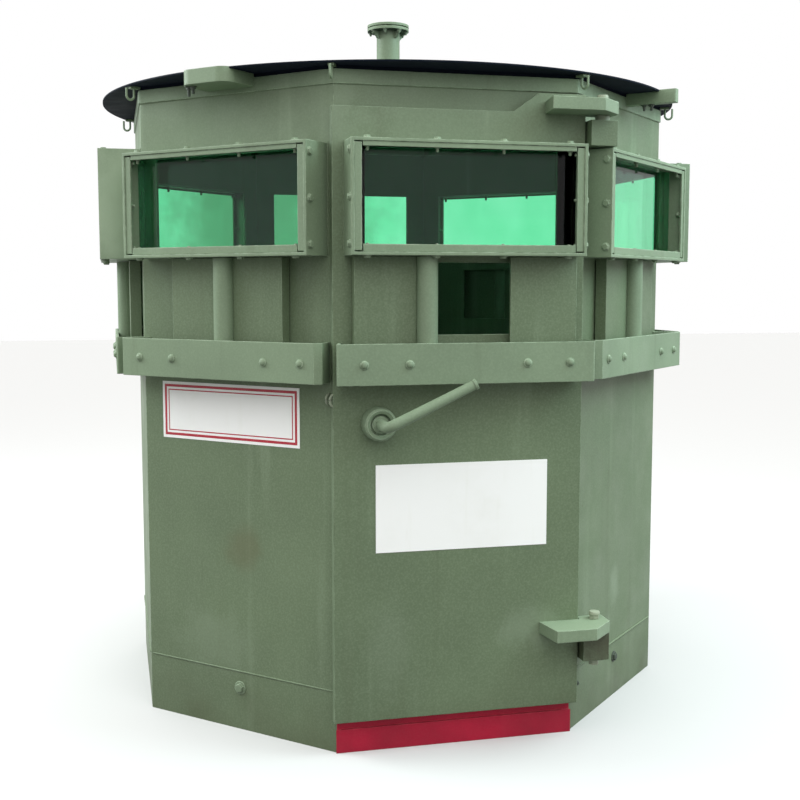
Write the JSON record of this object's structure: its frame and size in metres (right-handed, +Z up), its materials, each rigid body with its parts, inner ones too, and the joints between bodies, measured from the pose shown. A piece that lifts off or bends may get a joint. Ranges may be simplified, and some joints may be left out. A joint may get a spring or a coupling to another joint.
{
  "type": "armoured guard tower cabin",
  "caption": "Eight-sided armoured steel guard tower cabin with a hinged full-height door, deep framed windows, sliding port shutters, a round roof disc and a capped roof pipe.",
  "frame": {"origin": "on the tower's axis at ground level", "axes": "+Z up, -Y out of the door side, +X to the right of a person facing the door"},
  "size_m": [2.3, 2.351, 2.605],
  "materials": {
    "olive_paint": "satin",
    "floor_paint": "matte",
    "red_paint": "satin",
    "roof_sheet": "matte",
    "armoured_glass": "polished",
    "pin_steel": "satin"
  },
  "bodies": {
    "cabin": {"front_right_wall": "olive_paint", "right_wall": "olive_paint", "rear_right_wall": "olive_paint", "rear_wall": "olive_paint", "rear_left_wall": "olive_paint", "left_wall": "olive_paint", "front_left_wall": "olive_paint", "floor_plate": "floor_paint", "floor_bearers": "olive_paint", "skirt_diagonals": "olive_paint", "skirt_sides": "olive_paint", "door_sill": "red_paint", "left_jamb": "olive_paint", "right_jamb": "olive_paint", "door_header": "olive_paint", "top_ring_diagonals": "olive_paint", "top_ring_sides": "olive_paint", "ceiling_plate": "roof_sheet", "roof_disc": "roof_sheet", "roof_brackets": "olive_paint", "roof_hooks": "olive_paint", "lifting_lugs": "olive_paint", "roof_pipe": "olive_paint", "pipe_flange": "olive_paint", "pipe_gussets": "olive_paint", "flange_cover": "olive_paint", "window_boxes": "olive_paint", "window_glass": "armoured_glass", "glass_clamps": "olive_paint", "shutter_rails": "olive_paint", "shutter_leaves": "olive_paint", "shutter_handles": "olive_paint", "hinge_blocks": "olive_paint", "hinge_pins": "pin_steel"},
    "door": {"door_leaf": "olive_paint", "door_rim": "olive_paint", "door_hinge_plates": "olive_paint", "door_window_box": "olive_paint", "door_glass": "armoured_glass", "door_glass_clamp": "olive_paint", "door_shutter_rail": "olive_paint", "door_shutter_leaves": "olive_paint", "door_shutter_handle": "olive_paint", "lever_boss": "olive_paint"},
    "lever": {"lever": "olive_paint"}
  },
  "joints": [
    {"name": "door_hinge", "type": "hinge", "parent": "cabin", "child": "door", "pos_m": [0.486, -1.045, 0], "axis": [0, 0, 1], "range_deg": [0, 120]},
    {"name": "lever_turn", "type": "hinge", "parent": "door", "child": "lever", "pos_m": [-0.28, -1.165, 1.113], "axis": [0, 1, 0], "range_deg": [0, 90]}
  ]
}
